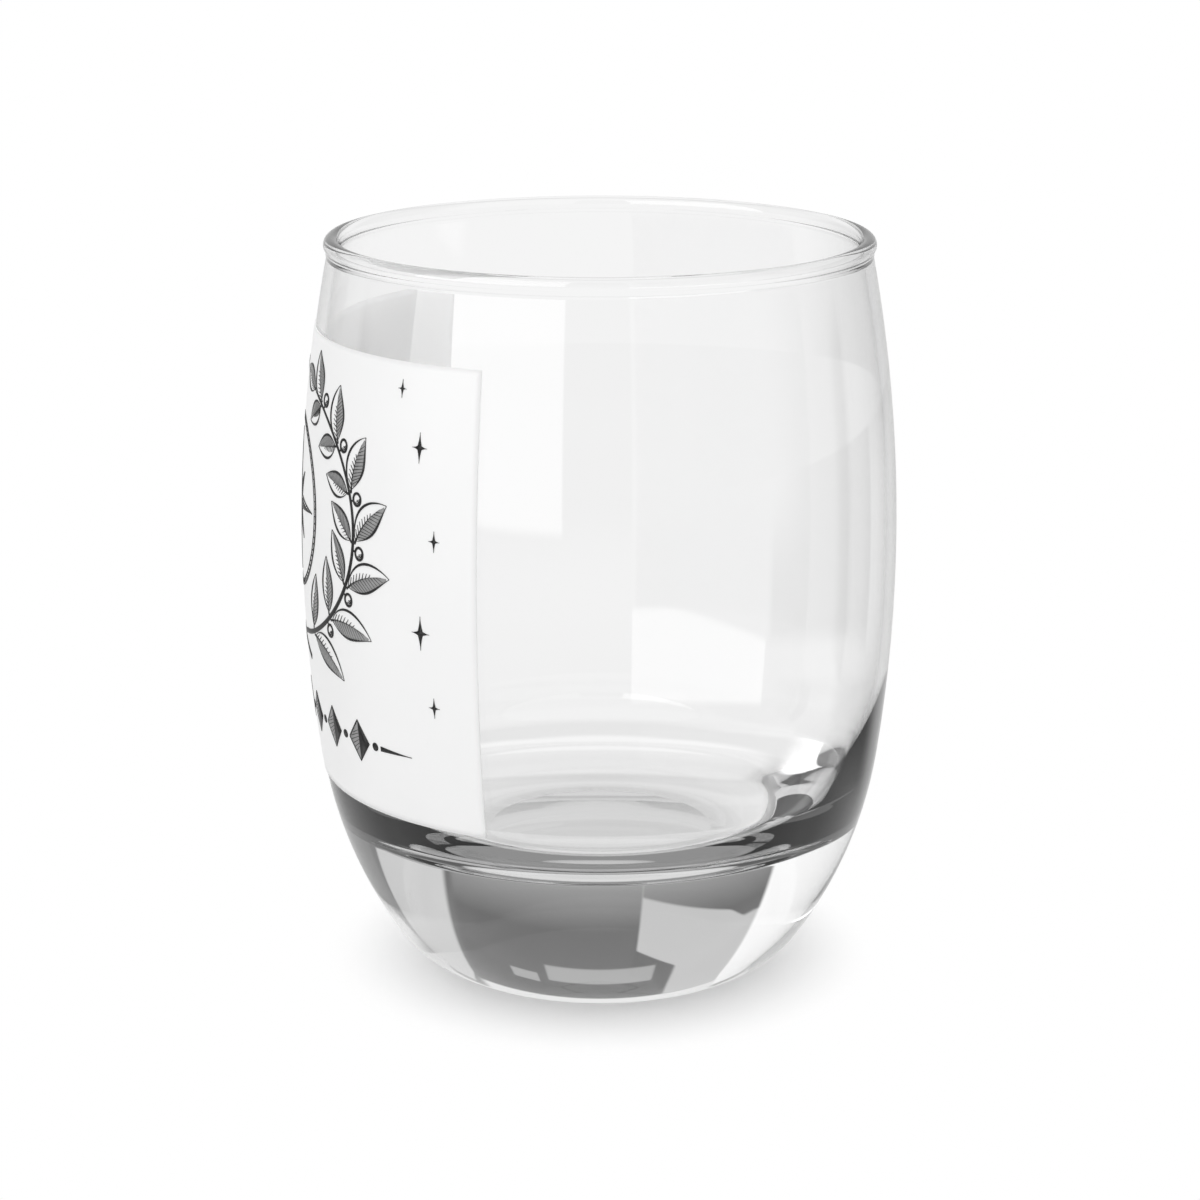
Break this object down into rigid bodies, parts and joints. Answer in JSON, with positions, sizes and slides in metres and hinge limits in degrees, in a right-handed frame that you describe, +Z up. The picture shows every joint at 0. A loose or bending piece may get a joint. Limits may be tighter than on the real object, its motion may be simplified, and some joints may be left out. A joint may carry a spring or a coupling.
{
  "type": "whisky glass",
  "caption": "Barrel-shaped clear glass tumbler with a rolled rim, a heavy solid base and a white panel on its side printed with a wreath, a star and a row of lozenges.",
  "frame": {"origin": "centre of the foot, on the plane that the glass stands on", "axes": "+Z up along the axis of the glass, -Y out through the middle of the printed panel"},
  "size_m": [0.0706, 0.071, 0.089],
  "materials": {
    "clear_glass": "clear, fire-polished, smooth",
    "white_print": "fired white ink, satin gloss",
    "grey_ink": "fired grey ink, satin gloss",
    "black_ink": "fired black ink, satin gloss"
  },
  "bodies": {
    "root": {"glass_body": "clear_glass", "print_white_coat": "white_print", "leaf_grey_ink": "grey_ink", "lozenge_grey_ink": "grey_ink", "leaf_black_ink": "black_ink", "stem_black_ink": "black_ink", "berry_black_ink": "black_ink", "star_black_ink": "black_ink", "star_ring_black_ink": "black_ink", "lozenge_black_ink": "black_ink", "sparkle_black_ink": "black_ink"}
  },
  "joints": []
}
